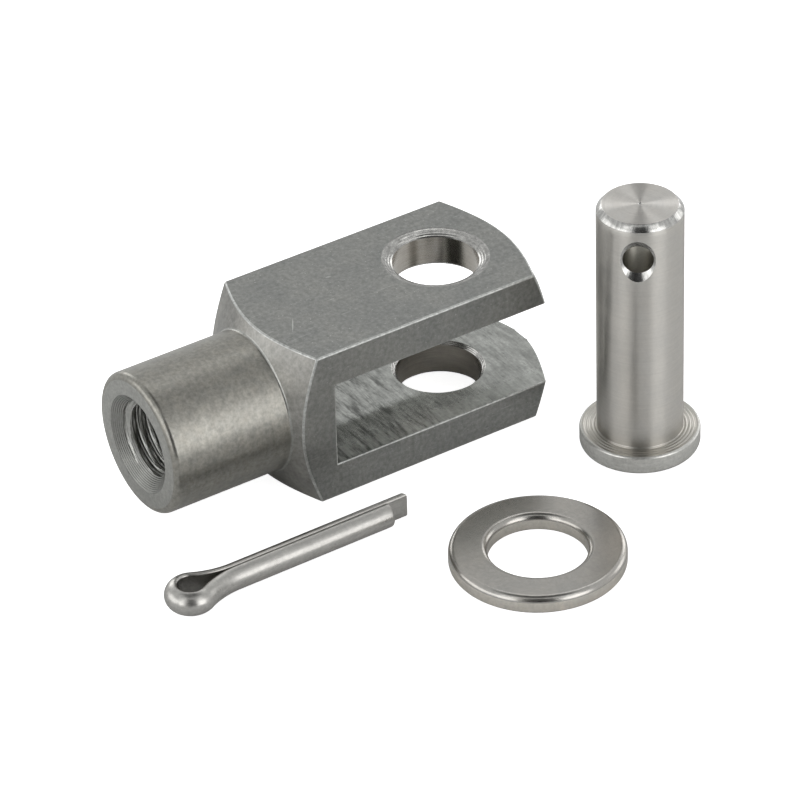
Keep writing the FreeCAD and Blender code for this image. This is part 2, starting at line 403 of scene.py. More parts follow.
# %% Fork head: the turned square bar
neck_length, slot_reach, slot_width = 15.38, 20.54, 10.9
turned_slope = 0.55
thread_radius, thread_pitch = 5.0, 1.25
neck_radius = thread_radius + 3.63
neck_root_x = neck_end_x + neck_length
slot_floor_x = -slot_reach
blank_radius = across * 0.75
end_flat_radius = slot_width / 2 + 0.2
root_angle = math.degrees(math.atan2(1.0, turned_slope))
end_round, root_round = 0.8, 0.4
root_tangent = root_round * math.tan(math.radians(root_angle / 2))


def square_prism(name, x_range, y_reach, z_reach):
    """Box between two places along x, with its half widths along y and z."""
    points = [(x, y * y_reach, z * z_reach) for x in x_range for y, z in SQUARE]
    faces = [(0, 3, 2, 1), (4, 5, 6, 7), (0, 1, 5, 4), (1, 2, 6, 5), (2, 3, 7, 6), (3, 0, 4, 7)]
    return add_object(name, points, faces, np.zeros((24, 2)))


blank_profile = np.vstack([
    [[neck_end_x, 0]],
    [[neck_end_x, neck_radius / 2]],
    arc((neck_end_x + end_round, neck_radius - end_round), end_round, 180, 90, 7),
    arc((neck_root_x - root_tangent, neck_radius + root_round), root_round, -90, -90 + root_angle, 7),
    [[neck_root_x + (blank_radius - neck_radius) * turned_slope, blank_radius]],
    [[ear_end_x - (blank_radius - end_flat_radius) * turned_slope, blank_radius]],
    [[ear_end_x, end_flat_radius]],
    [[ear_end_x, 0]],
])
blank = turned("turned_blank", blank_profile, axis="x", steps=240)
fork = square_prism("clevis_fork_steel", (neck_end_x - 1, ear_end_x + 1), half, half)
combine(fork, blank, "INTERSECT")
print("turned bar:", len(fork.data.polygons), "faces")

# %% [markdown]
# The slot and the cross bore. A side mill opens the slot and one drill goes through both ears. The bore's
# cutter is one turned solid that widens at every mouth: a wide countersink on top and small ones at the
# other three. It runs past the fork, because booleans handle faces that lie in one plane worst.

# %% Fork head: slot and cross bore
past_slot, past_fork, into_slot = 20, 2, 1
slot_cutter = square_prism("slot_cutter", (slot_floor_x, ear_end_x + past_slot), across, slot_width / 2)
combine(fork, slot_cutter)

lead_top_width, lead_top_depth, lead_bottom, lead_inside = 1.25, 0.6, 0.45, 0.45
lead_slope = lead_top_width / lead_top_depth
bore_profile = [
    (-half - past_fork, 0),
    (-half - past_fork, bore_radius + lead_bottom + past_fork),
    (-half + lead_bottom, bore_radius),
    (-slot_width / 2 - lead_inside, bore_radius),
    (-slot_width / 2 + into_slot, bore_radius + lead_inside + into_slot),
    (slot_width / 2 - into_slot, bore_radius + lead_inside + into_slot),
    (slot_width / 2 + lead_inside, bore_radius),
    (half - lead_top_depth, bore_radius),
    (half + past_fork, bore_radius + lead_top_width + past_fork * lead_slope),
    (half + past_fork, 0),
]
combine(fork, turned("bore_cutter", bore_profile, axis="z", steps=160))
print("fork with slot and bore:", len(fork.data.polygons), "faces")

# %% [markdown]
# The thread in the neck. It is a real screw surface here: the wall's radius is a function of the place
# along the hole and the angle, low at the crests and high in the grooves, and moving one pitch along for
# each turn. The countersunk mouth is part of the same function, because the wider of the two cuts wins.

# %% Fork head: the tapped hole
thread_depth = 0.54 * thread_pitch
crest_share = 0.99
first_groove = 0.52
flank_top, flank_fall = 1.3, 3.2
mouth_wider = 1.0


def screw_cutter(name, start_x, end_x, steps=120, per_pitch=14):
    """Closed cutter about the X axis with radius = max(thread, mouth cone).

    thread = crest + depth * flank(phase), where phase is x / pitch minus the turn, kept between 0 and 1,
    and flank rises and falls in straight lines with a short flat at the crest and at the root.
    """
    crest = thread_radius - thread_depth * crest_share
    count = int((end_x - start_x) / thread_pitch * per_pitch)
    x = np.linspace(start_x, end_x, count)[:, None]
    turn = np.arange(steps)[None] / steps
    phase = np.mod((x - neck_end_x - first_groove) / thread_pitch - turn, 1.0)
    flank = np.clip(flank_top - np.abs(phase - 0.5) * flank_fall, 0, 1)
    mouth = thread_radius + mouth_wider - (x - neck_end_x)
    wall = np.maximum(crest + thread_depth * flank, mouth)
    angle = turn * 2 * math.pi
    grid = np.stack([np.broadcast_to(x, wall.shape), wall * np.cos(angle), wall * np.sin(angle)], -1)
    quads = grid_quads(count, steps)[2]
    faces = list(quads) + [np.arange(steps)[::-1], (count - 1) * steps + np.arange(steps)]
    corners = sum(len(face) for face in faces)
    return add_object(name, grid.reshape(-1, 3), faces, np.zeros((corners, 2)))


combine(fork, screw_cutter("tap", neck_end_x - 0.8, slot_floor_x + 1.0))
print("thread depth:", round(thread_depth, 3))

# %% [markdown]
# The broken edges. A deburred edge is never sharp, and its thin bright line is much of what makes steel
# look like steel. It comes after every cut, so that no boolean meets the small strips. Each edge gets a
# share of the width by where it lies: full on the bar's long edges, less on the curved ones, half at the
# ears' ends, and none at the holes, which have their countersinks already.

# %% Fork head: the broken edges
edge_break = 0.24
curved_share, ear_end_share = 0.75, 0.5
slack = 0.01


def near(values, target, within=slack):
    """True where a value lies close to the target."""
    return np.abs(values - target) < within


def broken_share(middle):
    """Share of the edge break for edges with these middles."""
    x, y, z = middle.T
    off_the_bore = np.hypot(x, y) > bore_radius + lead_top_width + 0.3
    skin = (np.maximum(np.abs(y), np.abs(z)) > half - slack) & off_the_bore
    long_edge = np.minimum(np.abs(y), np.abs(z)) > half - slack
    ear_end = near(np.abs(z), slot_width / 2) & (x > bore_radius + 1.5)
    return np.maximum(np.where(long_edge, 1.0, curved_share) * skin, ear_end_share * ear_end)


round_edges(fork, edge_break, broken_share)
shade(fork)
print("fork head:", len(fork.data.polygons), "faces")

# %% [markdown]
# The headed pin. It stands on its head. One profile gives the foot bevel, the head, the plain shaft and
# the bevelled tip, with small arcs where the lathe tool leaves a radius. The head's seat keeps the tool's
# fine rings, and the tip's face a small dent at its centre.

# %% Headed pin: the turned body
head_radius = (pin_high[0] - pin_low[0]) / 2
head_thickness, foot_round, head_top_break, seat_fillet = 2.55, 0.8, 0.3, 0.12
tip_in, tip_along = 0.64, 0.73
row_below_hole, row_above_hole = 4.0, 3.0
tip_corner, tip_corner_short = 0.05, 0.03
dent_radius, dent_depth = 0.24, 0.12
ring_height, ring_spacing = 0.035, 0.42
top_z = pin_high[2]
head_top_z = floor_z + head_thickness

ring_radius = np.linspace(head_radius - head_top_break - 0.1, pin_radius + 0.15, 60)
ring_wave = np.sin((ring_radius - pin_radius) / ring_spacing * 2 * math.pi)
ring_depth = ring_height * np.clip(ring_wave, -0.6, 1.0) + ring_height
has_rings = ring_radius < head_radius - 0.45
pin_profile = np.vstack([
    [[floor_z, 0]],
    [[floor_z, head_radius / 2]],
    arc((floor_z + foot_round, head_radius - foot_round), foot_round, 180, 90, 14),
    arc((head_top_z - head_top_break, head_radius - head_top_break), head_top_break, 90, 0, 6),
    np.stack([head_top_z - ring_depth * has_rings, ring_radius], 1),
    arc((head_top_z + seat_fillet, pin_radius + seat_fillet), seat_fillet, 180, 270, 5),
    [[cross_hole_z - row_below_hole, pin_radius]],
    [[cross_hole_z + row_above_hole, pin_radius]],
    [[top_z - tip_along - tip_corner, pin_radius]],
    [[top_z - tip_along + tip_corner_short, pin_radius - tip_corner_short]],
    [[top_z - tip_corner, pin_radius - tip_in + tip_corner]],
    [[top_z, pin_radius - tip_in - tip_corner_short]],
    [[top_z, pin_radius * 0.45]],
    [[top_z, dent_radius]],
    [[top_z - dent_depth, dent_radius / 4]],
    [[top_z - dent_depth - 0.01, 0]],
])
pin = turned("clevis_pin_steel", pin_profile, axis="z", centre=(*pin_centre, 0), steps=256)
print("turned pin:", len(pin.data.polygons), "faces")

# %% [markdown]
# The hole for the split pin is drilled after turning, straight through the axis, and countersunk from
# both sides. Its cutter is turned about an axis of its own, the one that the record gives for the hole.

# %% Headed pin: the cross hole
hole_lead_width, hole_lead_depth, past_shaft = 0.92, 0.55, 1.0
hole_flare = past_shaft * hole_lead_width / hole_lead_depth
hole_mouth = cross_hole_radius + hole_lead_width + hole_flare
hole_profile = [
    (-pin_radius - past_shaft, 0),
    (-pin_radius - past_shaft, hole_mouth),
    (-pin_radius + hole_lead_depth, cross_hole_radius),
    (pin_radius - hole_lead_depth, cross_hole_radius),
    (pin_radius + past_shaft, hole_mouth),
    (pin_radius + past_shaft, 0),
]
hole_side = np.cross([0, 0, 1.0], cross_hole_axis)
hole_axes = np.stack([cross_hole_axis, hole_side, np.cross(cross_hole_axis, hole_side)])
hole_centre = (*pin_centre, cross_hole_z)
combine(pin, turned("cross_drill", hole_profile, axis=hole_axes, centre=hole_centre, steps=96))
print("pin:", len(pin.data.polygons), "faces")

# %% [markdown]
# The washer is stamped from sheet: the punch rolls its upper edges over and leaves the lower ones sharper.
# That roll-over is what catches the light as a soft bright rim, so it gets a true radius here.

# %% Plain washer
washer_radius = (washer_high[0] - washer_low[0]) / 2
washer_top = washer_high[2]
roll, foot = 0.8, 0.3
washer_profile = np.vstack([
    arc((floor_z + foot, washer_radius - foot), foot, 180, 90, 5),
    arc((washer_top - roll, washer_radius - roll), roll, 90, 0, 12),
    arc((washer_top - roll, washer_hole_radius + roll), roll, 0, -90, 12),
    arc((floor_z + foot, washer_hole_radius + foot), foot, 270, 180, 5),
])
washer = turned("washer_steel", washer_profile, axis="z", centre=(*washer_centre, 0), steps=288, ring=True)
print("washer:", len(washer.data.polygons), "faces")

# %% [markdown]
# The split pin is half-round wire folded on itself: the flats meet in a seam, the fold opens into an eye,
# and one leg is left longer. A curve with a bevel object could carry the section, but could not bevel the
# ends. So the fold is worked out as a plane line: a circle, then two arcs that run into the seam.

# %% Split pin: the fold and the section
seam_gap, wire_edge_round = 0.1, 0.25
wire_radius = cross_hole_radius - 0.2
eye_radius, eye_length, short_leg, long_extra, end_bevel = 1.55, 7.4, 20.8, 2.64, 0.3
half_gap = seam_gap / 2
wire_edge_y = half_gap + wire_edge_round
wire_edge_z = math.sqrt((wire_radius - wire_edge_round) ** 2 - wire_edge_y ** 2)


def fold_line(step=0.12):
    """Inner line of the folded wire: rows of x, y and the outward normal, from one leg's end to the other's.

    The counter arcs meet the eye's circle on the line between both centres, and run level into the seam.
    """
    reach_x = eye_length - eye_radius
    bend_radius = (reach_x ** 2 + half_gap ** 2 - eye_radius ** 2) / (2 * (eye_radius - half_gap))
    centre_y = bend_radius + half_gap
    meet = math.atan2(centre_y, reach_x)
    long_leg = np.arange(short_leg + long_extra, 0, -step * 4)
    upper_leg = columns(eye_length + long_leg, half_gap, 0.0, 1.0)
    bend_count = int(bend_radius * (math.pi / 2 - meet) / step) + 8
    bend = np.linspace(-math.pi / 2, meet - math.pi, bend_count)
    bend_x, bend_y = np.cos(bend), np.sin(bend)
    upper_bend = columns(eye_length + bend_radius * bend_x, centre_y + bend_radius * bend_y, -bend_x, -bend_y)
    around = np.linspace(meet, 2 * math.pi - meet, 84)[1:-1]
    eye_x, eye_y = np.cos(around), np.sin(around)
    eye = columns(eye_radius + eye_radius * eye_x, eye_radius * eye_y, eye_x, eye_y)
    lower_bend = upper_bend[::-1] * [1, -1, 1, -1]
    low = np.append(np.arange(0, short_leg, step * 4)[1:], short_leg)
    lower_leg = columns(eye_length + low, -half_gap, 0.0, -1.0)
    return np.vstack([upper_leg, upper_bend, eye, lower_bend, lower_leg])


def half_round(count=40):
    """Closed section in (distance from the seam's middle, height): round back, two edges, flat side."""
    edge_angle = math.degrees(math.atan2(wire_edge_z, wire_edge_y))
    back = arc((0, 0), wire_radius, -edge_angle, edge_angle, count)
    top_edge = arc((wire_edge_y, wire_edge_z), wire_edge_round, edge_angle, 180, 8)
    low_edge = arc((wire_edge_y, -wire_edge_z), wire_edge_round, 180, 360 - edge_angle, 8)
    flat = columns(half_gap, np.linspace(wire_edge_z, -wire_edge_z, 5))
    return np.vstack([back, top_edge[1:], flat[1:-1], low_edge[:-1]])


line = fold_line()
section = half_round()
print("fold:", len(line), "stations, section:", len(section), "points")

# %% [markdown]
# Carrying the section along the fold. The stations are set anew so that five of them fall within each
# end's bevel, where the section is squeezed towards its middle along a quarter circle. The whole is then
# turned by the small angle at which it lies.

# %% Split pin: the wire
split_turn = math.radians(0.3)
along = np.concatenate([[0], np.cumsum(np.linalg.norm(np.diff(line[:, :2], axis=0), axis=1))])
total = along[-1]
bevel_rows = np.linspace(0, end_bevel, 5)
inner_rows = along[(along > end_bevel + 0.05) & (along < total - end_bevel - 0.05)]
stations = np.concatenate([bevel_rows, inner_rows, total - bevel_rows[::-1]])
line = columns(*[np.interp(stations, along, line[:, k]) for k in range(4)])
line[:, 2:] /= np.linalg.norm(line[:, 2:], axis=1)[:, None]

from_end = np.minimum(stations, total - stations)
bevel_in = np.clip(end_bevel - from_end, 0, end_bevel)
reach_out = wire_radius - end_bevel + np.sqrt(end_bevel ** 2 - bevel_in ** 2)
squeeze = np.minimum(1.0, reach_out[:, None] / np.linalg.norm(section, axis=1)[None])
outward = np.maximum(section[None, :, 0] * squeeze, half_gap) - half_gap
wire_half_height = (wire_high[2] - wire_low[2]) / 2
upward = section[None, :, 1] * squeeze * wire_half_height / (wire_edge_z + wire_edge_round)
flat_x = line[:, :1] + outward * line[:, 2:3]
flat_y = line[:, 1:2] + outward * line[:, 3:4]
eye_left_x = wire_low[0] + wire_radius - half_gap
eye_left_y = (wire_low[1] + wire_high[1]) / 2 - eye_radius * math.sin(split_turn)
wire_points = np.stack([
    eye_left_x + flat_x * math.cos(split_turn) - flat_y * math.sin(split_turn),
    eye_left_y + flat_x * math.sin(split_turn) + flat_y * math.cos(split_turn),
    floor_z + wire_half_height + upward,
], -1)

rows, sides = wire_points.shape[:2]
row, col, quads = grid_quads(rows, sides)
here, there = stations[row], stations[row + 1]
left, right = col / sides, (col + 1) / sides
wire_uv = corner_pairs((here, left), (here, right), (there, right), (there, left))
wire_ends = [np.arange(sides), (rows - 1) * sides + np.arange(sides)]
end_uv = np.tile(section * 0.1, (2, 1))
split_pin = add_object("split_pin_wire", wire_points.reshape(-1, 3), list(quads) + wire_ends,
                       np.vstack([wire_uv, end_uv]))
print("split pin:", len(split_pin.data.polygons), "faces")

for piece, sharp_angle in ((pin, 30), (washer, 40), (split_pin, 40)):
    shade(piece, sharp_angle)

# %% [markdown]
# The finishes. Every one is the same steel under a different tool, and each could be an image texture.
# Here they are all noise in the object's own millimetres, which needs no UV map and no file. This class
# only shortens the adding and linking of nodes.

# %% Adding shader nodes
class Nodes:
    """One new material, and short ways to add nodes to it."""

    def __init__(self, name):
        self.material = bpy.data.materials.new(name)
        self.material.use_nodes = True
        self.tree = self.material.node_tree
        self.tree.nodes.clear()

    def add(self, kind, values=(), **settings):
        """A node. Each value is the output that its socket is linked to, or else a plain value."""
        new = self.tree.nodes.new("ShaderNode" + kind)
        for key, value in settings.items():
            setattr(new, key, value)
        for key, value in dict(values).items():
            if isinstance(value, bpy.types.NodeSocket):
                self.tree.links.new(value, new.inputs[key])
            else:
                new.inputs[key].default_value = value
        return new

    def maths(self, operation, a, b=0.0, c=0.0):
        """The result of one sum."""
        return self.add("Math", {0: a, 1: b, 2: c}, operation=operation).outputs[0]

    def vector(self, operation, a, b):
        """The vector that a sum on vectors gives."""
        return self.add("VectorMath", {0: a, 1: b}, operation=operation).outputs[0]

    def scaled(self, vector, factor):
        """A vector times a number."""
        return self.add("VectorMath", {0: vector, 3: factor}, operation="SCALE").outputs[0]

    def number(self, operation, a, b=(0, 0, 0)):
        """The number that a sum on vectors gives, such as a length."""
        return self.add("VectorMath", {0: a, 1: b}, operation=operation).outputs["Value"]

    def part(self, vector, index):
        """The x (0), y (1) or z (2) of a vector."""
        return self.add("SeparateXYZ", {0: vector}).outputs[index]

    def noise(self, place, scale, detail, roughness=0.5):
        """Noise around a half."""
        values = {"Vector": place, "Scale": scale, "Detail": detail, "Roughness": roughness}
        return self.add("TexNoise", values).outputs["Fac"]

    def swing(self, noise, amount):
        """1 where the noise is at its middle, and up to half the amount more or less at its ends."""
        return self.maths("MULTIPLY_ADD", noise, amount, 1.0 - amount / 2)

    def fade(self, value, start, end, before, after):
        """Before up to the start, after from the end on, and a straight line between."""
        values = {"Value": value, "From Min": start, "From Max": end, "To Min": before, "To Max": after}
        return self.add("MapRange", values).outputs[0]


# %% [markdown]
# What a surface shows, one function each. Tool marks are noise that is stretched along the way the tool
# went: straight, or round an axis. Scratches are thin crests of strongly stretched noise, specks the
# highest crests of fine noise, and a nick is a knock of a given place and length. Stains are darker
# smudges, with painted shade deep in the slot. Edges are lightened, partly as wear and partly as a
# painted highlight, and the Bevel node finds them: where its rounded normal leaves the true one, an
# edge is near.

# %% Marks, scratches, stains with painted shade, nicks, and wear with painted highlight
SCRATCH_CRESTS, SPECK_CRESTS, STAIN_AND_SHADE_RANGE = (0.68, 0.74), (0.76, 0.84), (0.49, 0.64)
NICK_HALF_WIDTH, NICK_DEPTH, NICK_BRIGHTNESS, NICK_RIM = 0.09, 0.3, 0.8, (0.6, 1.1)
WEAR_AND_HIGHLIGHT_RADIUS, WEAR_AND_HIGHLIGHT_RANGE = 0.35, (0.995, 0.90)
SLOT_SHADE_PLACES, SLOT_SHADE_SHIFT = (-12.0, -2.0), (0.03, -0.07)
OTHER_AXES = {"x": (1, 2, 0), "z": (0, 1, 2)}


def tool_place(nodes, place, grain, polar):
    """Coordinates that stretch noise along the tool's way, and the length along the axis if it turned.

    The three factors of the grain are for x, y and z, or for radius, angle and length along the axis.
    """
    if not polar:
        return nodes.vector("MULTIPLY", place, grain), None
    axis, centre = polar
    moved = nodes.add("SeparateXYZ", {0: nodes.vector("SUBTRACT", place, centre)}).outputs
    side, other, along_axis = [moved[index] for index in OTHER_AXES[axis]]
    squares = nodes.maths("ADD", nodes.maths("MULTIPLY", side, side), nodes.maths("MULTIPLY", other, other))
    radius = nodes.maths("SQRT", squares)
    far = nodes.maths("MAXIMUM", radius, 0.02)
    length_part = nodes.maths("MULTIPLY", along_axis, grain[2])
    radius_part = nodes.maths("MULTIPLY", radius, grain[0])
    stretched = nodes.add("CombineXYZ", {
        0: nodes.maths("MULTIPLY", nodes.maths("DIVIDE", side, far), grain[1]),
        1: nodes.maths("MULTIPLY", nodes.maths("DIVIDE", other, far), grain[1]),
        2: nodes.maths("ADD", length_part, radius_part)}).outputs[0]
    return stretched, along_axis


def scratch_light(nodes, place, amount):
    """Thin lines that are lighter by the amount."""
    direction = {"Vector": place, "Rotation": (0.3, 0.2, 0.9), "Scale": (0.22, 4.0, 2.4)}
    lines = nodes.noise(nodes.add("Mapping", direction).outputs[0], 1.0, 2.0)
    return nodes.fade(lines, *SCRATCH_CRESTS, 0.0, amount)


def speck_light(nodes, place, amount):
    """Small dots that are lighter by the amount."""
    return nodes.fade(nodes.noise(place, 4.5, 0.0), *SPECK_CRESTS, 0.0, amount)


def stains_and_slot_shade(nodes, place, stretched, amount):
    """A factor that darkens smudges of stain by the amount, and painted shade that gives more of them deep in
    the slot, fewer towards the ears' ends.
    """
    # Painted shade: more and darker smudges away from the ears' ends, deep in the slot.
    deeper_shade = nodes.fade(nodes.part(place, 0), *SLOT_SHADE_PLACES, *SLOT_SHADE_SHIFT)
    smudges_and_shade = nodes.maths("ADD", nodes.noise(stretched, 0.55, 5.0, 0.72), deeper_shade)
    return nodes.fade(smudges_and_shade, *STAIN_AND_SHADE_RANGE, 1.0, 1.0 - amount)


def nick_light(nodes, place, start, end):
    """A light knock on the top flat, from one (x, y) to another."""
    run_x, run_y = end[0] - start[0], end[1] - start[1]
    middle = ((start[0] + end[0]) / 2, (start[1] + end[1]) / 2, half)
    own_place = nodes.add("Mapping", {
        "Vector": nodes.vector("SUBTRACT", place, middle),
        "Rotation": (0, 0, math.atan2(run_y, run_x)),
        "Scale": (math.hypot(run_x, run_y) / 2, NICK_HALF_WIDTH, NICK_DEPTH)}, vector_type="TEXTURE")
    return nodes.fade(nodes.number("LENGTH", own_place.outputs[0]), *NICK_RIM, NICK_BRIGHTNESS, 0.0)


def wear_and_edge_highlight(nodes, grains, amount):
    """Light along edges, partly rubbed wear and partly a painted highlight, broken up by the grains."""
    rounded = nodes.add("Bevel", {"Radius": WEAR_AND_HIGHLIGHT_RADIUS * MM}, samples=6).outputs[0]
    flatness = nodes.number("DOT_PRODUCT", rounded, nodes.add("NewGeometry").outputs["Normal"])
    rub_and_highlight = nodes.fade(flatness, *WEAR_AND_HIGHLIGHT_RANGE, 0.0, 1.0)
    return nodes.maths("MULTIPLY", nodes.maths("MULTIPLY", rub_and_highlight, grains), amount)


# %% [markdown]
# The steel itself. Metal has no colour under its reflection, so the level of light multiplies the Base
# Color of a fully metallic Principled shader. The tool marks also tilt the normal a little, through a
# Bump node, and turned faces stretch their highlight along the U of the UV map.

# %% The steel
def steel(name, colour, roughness, grain, marks=0.3, marks_bump=0.004, speckle=0.3, speckle_size=2.5,
          blotch=0.2, blotch_size=0.35, scratches=0.0, specks=0.0, stains_and_shade=0.0, nicks=(), dull=None,
          edge_wear_and_highlight=0.0, polar=None, ridges=None, anisotropy=0.0, warm=0.0, edge_tint=1.0):
    """Bare steel. Marks, speckle and blotch say how far each noise moves the colour.

    Polar (axis letter, centre) makes the marks run round an axis. Dull (start, end, factor) raises the
    roughness between two places along y. Ridges (spacing, height) are a sine of the length along the axis.
    """
    nodes = Nodes(name)
    place = nodes.scaled(nodes.add("TexCoord").outputs["Object"], 1 / MM)
    stretched, along_axis = tool_place(nodes, place, grain, polar)
    tool_marks = nodes.noise(stretched, 1.0, 3.0, 0.6)
    patches = nodes.noise(place, blotch_size, 5.0, 0.6)
    grains = nodes.noise(place, speckle_size, 2.0, 0.7)

    level = nodes.maths("MULTIPLY", nodes.swing(tool_marks, marks), nodes.swing(patches, blotch))
    level = nodes.maths("MULTIPLY", level, nodes.swing(grains, speckle))
    if scratches:
        level = nodes.maths("ADD", level, scratch_light(nodes, place, scratches))
    if specks:
        level = nodes.maths("ADD", level, speck_light(nodes, place, specks))
    # Stains, with painted shade that darkens more of them deep in the slot.
    if stains_and_shade:
        level = nodes.maths("MULTIPLY", level, stains_and_slot_shade(nodes, place, stretched, stains_and_shade))
    for start, end in nicks:
        level = nodes.maths("ADD", level, nick_light(nodes, place, start, end))
    # Edges are lightened in the colour: partly rubbed wear, partly a painted highlight.
    if edge_wear_and_highlight:
        level = nodes.maths("ADD", level, wear_and_edge_highlight(nodes, grains, edge_wear_and_highlight))

    warmer = (colour[0] * (1 + warm), colour[1], colour[2] * (1 - warm), 1)
    tint = nodes.add("Mix", {"Factor": patches, 6: (*colour, 1), 7: warmer}, data_type="RGBA").outputs[2]
    rough = nodes.maths("MULTIPLY", nodes.swing(patches, 0.5), roughness)
    if dull:
        start, end, factor = dull
        rough = nodes.maths("MULTIPLY", rough, nodes.fade(nodes.part(place, 1), start, end, 1.0, factor))
    bump = nodes.add("Bump", {"Strength": 1.0, "Distance": marks_bump * MM, "Height": tool_marks})
    if ridges:
        spacing, height = ridges
        wave = nodes.maths("SINE", nodes.maths("MULTIPLY", along_axis, 2 * math.pi / spacing))
        broken_wave = nodes.maths("MULTIPLY", wave, nodes.swing(grains, 0.8))
        bump = nodes.add("Bump", {"Strength": 1.0, "Distance": height * MM, "Height": broken_wave,
                                  "Normal": bump.outputs[0]})
    shader = nodes.add("BsdfPrincipled", {
        "Base Color": nodes.scaled(tint, level), "Metallic": 1.0, "Roughness": rough,
        "Normal": bump.outputs[0], "Anisotropic": anisotropy, "Anisotropic Rotation": 0.25,
        "Specular Tint": (edge_tint, edge_tint, edge_tint, 1)})
    if anisotropy:
        tangent = nodes.add("Tangent", direction_type="UV_MAP", uv_map="UVMap").outputs[0]
        nodes.tree.links.new(tangent, shader.inputs["Tangent"])
    nodes.add("OutputMaterial", {0: shader.outputs[0]})
    return nodes.material


# %% [markdown]
# The fork's finishes. The flats are the drawn bar, blasted dull, with two knocks on top. The milled slot
# is smoother and stained, with painted shade that darkens it deep inside. Neck, crown and end face were
# turned about the X axis, the bore and its countersinks about the Z axis, and the broken edges get the
# lightest colour, a painted highlight.

# %% Finishes of the fork
about_rod = ("x", (0, 0, 0))
about_bore = ("z", (0, 0, 0))
flat_nicks = (((-20.55, -1.2), (-22.1, -3.65)), ((-12.9, 3.8), (-12.2, 3.55)))
fork_finish = {
    "flats": steel("fork_flats", (0.255, 0.262, 0.255), 0.42, (1.6, 1.0, 1.0), marks=0.4, speckle=0.8,
                   speckle_size=2.0, blotch=0.45, blotch_size=0.25, scratches=0.3, specks=0.7, edge_wear_and_highlight=0.7,
                   warm=0.04, nicks=flat_nicks),
    "slot": steel("fork_slot_faces", (0.37, 0.375, 0.355), 0.10, (2.2, 0.35, 1.0), marks=1.1, speckle=0.6,
                  blotch=0.9, blotch_size=0.4, stains_and_shade=0.6, dull=(-4.0, -8.0, 3.0), edge_wear_and_highlight=0.4),
    "neck": steel("fork_neck", (0.26, 0.26, 0.242), 0.34, (1.5, 1.0, 1.5), marks=0.35, speckle=0.9,
                  speckle_size=2.0, blotch=0.5, blotch_size=0.9, edge_wear_and_highlight=0.7, polar=about_rod, warm=0.06),
    "crown": steel("fork_crown", (0.268, 0.268, 0.256), 0.36, (0.4, 9.0, 0.4), marks=0.5, speckle=0.8,
                   speckle_size=2.0, blotch=0.6, blotch_size=0.4, edge_wear_and_highlight=0.7, polar=about_rod, warm=0.04),
    "bore": steel("fork_bore", (0.45, 0.435, 0.405), 0.22, (0.0, 1.5, 7.0), marks=0.6, speckle=0.2,
                  polar=about_bore, warm=0.05),
    "lead": steel("fork_leads", (0.38, 0.375, 0.36), 0.20, (2.0, 7.0, 2.0), marks=1.4, marks_bump=0.012,
                  speckle=0.9, polar=about_bore, ridges=(0.15, 0.008)),
    "thread": steel("fork_thread", (0.38, 0.38, 0.36), 0.34, (6.0, 0.6, 6.0), marks=0.9, marks_bump=0.02,
                    speckle=0.6, polar=about_rod, ridges=(0.21, 0.02)),
    "mouth": steel("fork_thread_mouth", (0.27, 0.27, 0.255), 0.30, (6.0, 0.8, 6.0), marks=0.8,
                   marks_bump=0.01, speckle=0.5, polar=about_rod, ridges=(0.17, 0.02)),
    "end": steel("fork_end_face", (0.33, 0.33, 0.31), 0.32, (3.0, 0.8, 1.0), marks=0.4, speckle=0.9,
                 blotch=0.5, blotch_size=0.9, polar=about_rod),
    # The broken edges' light colour is a painted highlight.
    "edge": steel("fork_broken_edges_highlight", (0.45, 0.455, 0.44), 0.38, (1.5, 1.5, 1.5), marks=1.0, speckle=1.2,
                  blotch=0.5, blotch_size=0.6),
}
print("fork finishes:", len(fork_finish))

# %% [markdown]
# The loose pieces' finishes. The pin is fine-turned, so its shaft and tip stretch their highlight round
# the axis, which is what anisotropy does. Its cross hole is painted dark, a painted shade. The washer is
# tumbled, so it has no direction, and its walls get a lighter colour, which is painted light. The wire was
# drawn, so its marks run along it.

# %% Finishes of the loose pieces
about_pin = ("z", (*pin_centre, 0))
pin_finish = {
    "shaft": steel("pin_turned", (0.54, 0.53, 0.505), 0.34, (8.0, 0.8, 5.0), marks=0.2, speckle=0.15,
                   blotch=0.1, polar=about_pin, anisotropy=0.88, warm=0.03, edge_tint=0.6),
    "tip": steel("pin_tip_face", (0.57, 0.56, 0.54), 0.48, (9.0, 0.8, 5.0), marks=0.3, speckle=0.2,
                 blotch=0.1, polar=about_pin, anisotropy=0.93, warm=0.03),
    "bevel": steel("pin_bevels", (0.45, 0.445, 0.43), 0.21, (2.0, 9.0, 2.0), marks=1.3, marks_bump=0.015,
                   speckle=0.5, polar=about_pin),
    "seat": steel("pin_head_seat", (0.44, 0.435, 0.41), 0.31, (5.0, 0.8, 5.0), marks=0.3,
                  marks_bump=0.001, speckle=0.2, polar=about_pin, warm=0.05),
    "rim": steel("pin_head_rim", (0.53, 0.525, 0.50), 0.35, (3.0, 3.0, 3.0), marks=0.4, marks_bump=0.01,
                 speckle=0.6, polar=about_pin, edge_tint=0.8),
    # The dark colour in the cross hole is painted shade.
    "hole": steel("pin_cross_hole_shaded", (0.27, 0.258, 0.225), 0.40, (4.0, 4.0, 4.0)),
}
washer_finish = {
    "tumbled": steel("washer_tumbled", (0.395, 0.39, 0.375), 0.24, (1.0, 1.0, 1.0), marks=0.15,
                     speckle=0.25, blotch=0.25, blotch_size=0.2, warm=0.05, edge_tint=0.8),
    # The walls' lighter colour is painted light.
    "walls": steel("washer_walls_painted_light", (0.56, 0.545, 0.51), 0.32, (1.0, 1.0, 0.3), marks=0.3,
                   speckle=0.4, warm=0.05, edge_tint=0.8),
}
wire_finish = {
    "drawn": steel("wire_drawn", (0.42, 0.41, 0.39), 0.30, (0.3, 3.0, 3.0), marks=0.4, speckle=0.5,
                   blotch=0.3, blotch_size=0.6, edge_tint=0.8),
}
print("other finishes:", len(pin_finish) + len(washer_finish) + len(wire_finish))

